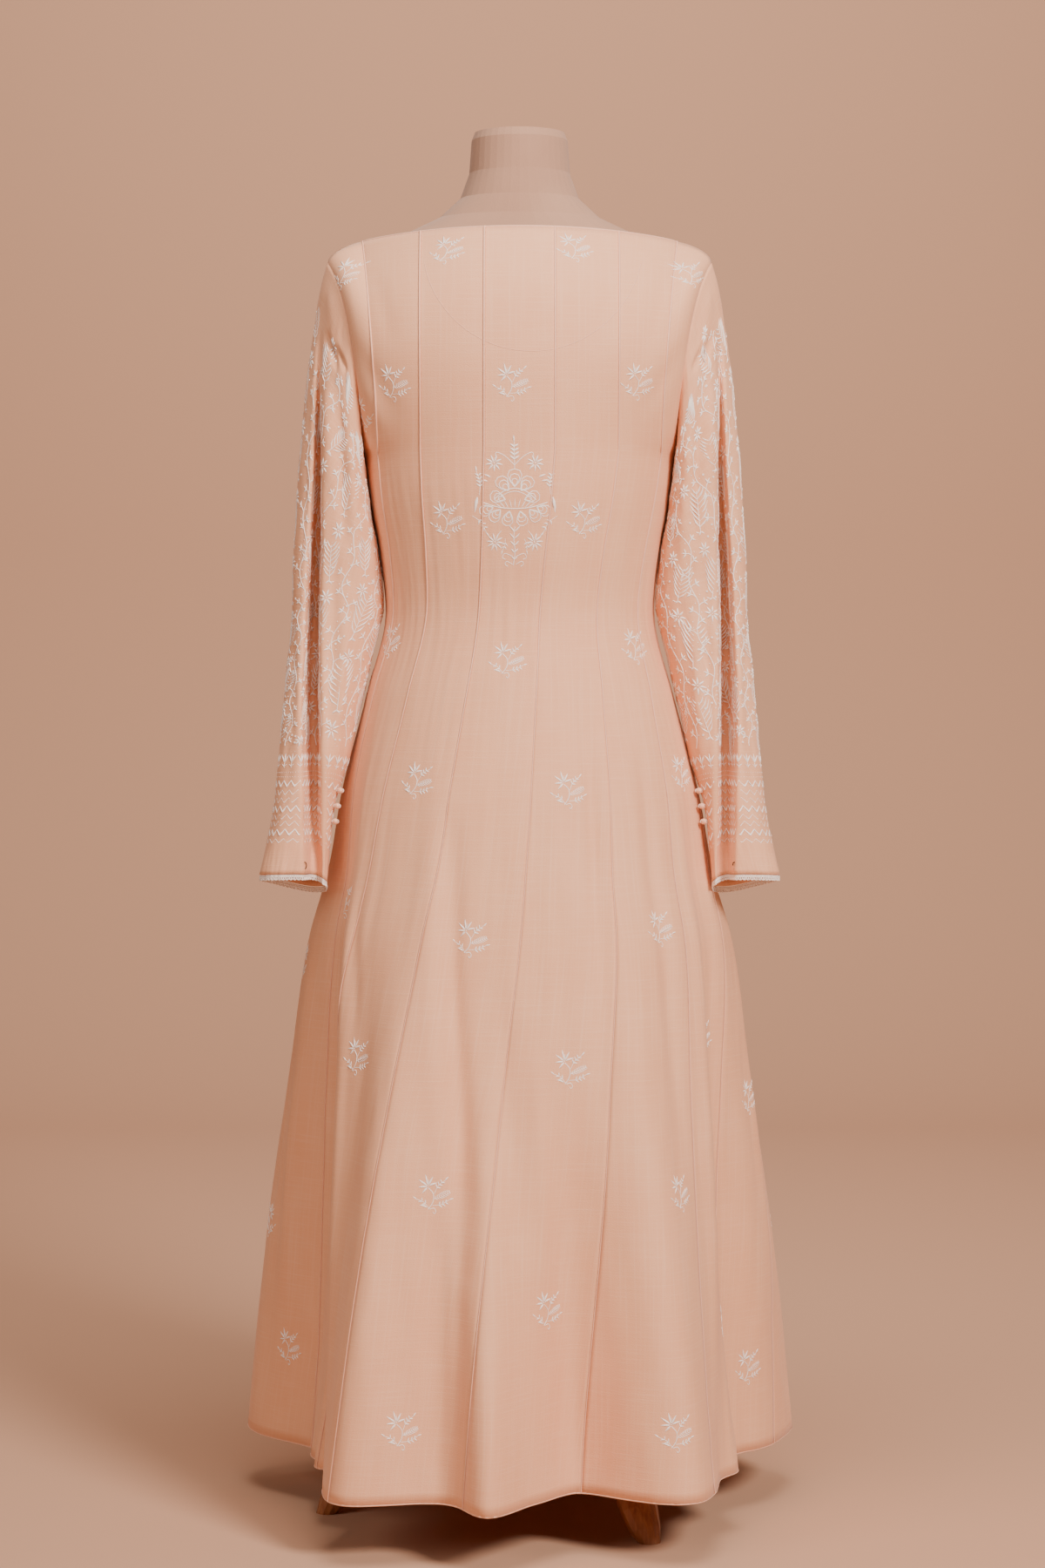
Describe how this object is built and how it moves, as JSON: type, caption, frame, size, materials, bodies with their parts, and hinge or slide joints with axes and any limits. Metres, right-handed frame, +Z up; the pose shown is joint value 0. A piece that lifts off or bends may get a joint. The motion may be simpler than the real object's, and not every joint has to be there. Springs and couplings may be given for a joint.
{
  "type": "anarkali gown on a limbless dress form with a wooden stand",
  "caption": "Long flared panelled gown with empty embroidered sleeves, worn by a limbless dress form on a wooden stand.",
  "frame": {"origin": "on the floor, under the middle of the whole object's box", "axes": "+Z up, -Y the back of the gown, +Y its front, +X the wearer's right"},
  "size_m": [0.5862, 0.6072, 1.434],
  "materials": {
    "cloth": "soft slubbed weave with a faint sheen",
    "lace": "matt picot lace",
    "thread_button": "thread covered",
    "form_cover": "matt stretched cover",
    "wood": "satin stain"
  },
  "bodies": {
    "root": {"panel_back_side_left": "cloth", "panel_back_outer_left": "cloth", "panel_back_inner_left": "cloth", "panel_back_centre": "cloth", "panel_back_inner_right": "cloth", "panel_back_outer_right": "cloth", "panel_back_side_right": "cloth", "panel_front_side_right": "cloth", "panel_front_outer_right": "cloth", "panel_front_inner_right": "cloth", "panel_front_centre": "cloth", "panel_front_inner_left": "cloth", "panel_front_outer_left": "cloth", "panel_front_side_left": "cloth", "sleeve_left": "cloth", "sleeve_right": "cloth", "cuff_lace_left": "lace", "cuff_lace_right": "lace", "cuff_button_left_1": "thread_button", "cuff_button_left_2": "thread_button", "cuff_button_left_3": "thread_button", "cuff_button_right_1": "thread_button", "cuff_button_right_2": "thread_button", "cuff_button_right_3": "thread_button", "form_torso": "form_cover", "stand_pole": "wood", "stand_hub": "wood", "stand_leg_1": "wood", "stand_leg_2": "wood", "stand_leg_3": "wood"}
  },
  "joints": []
}
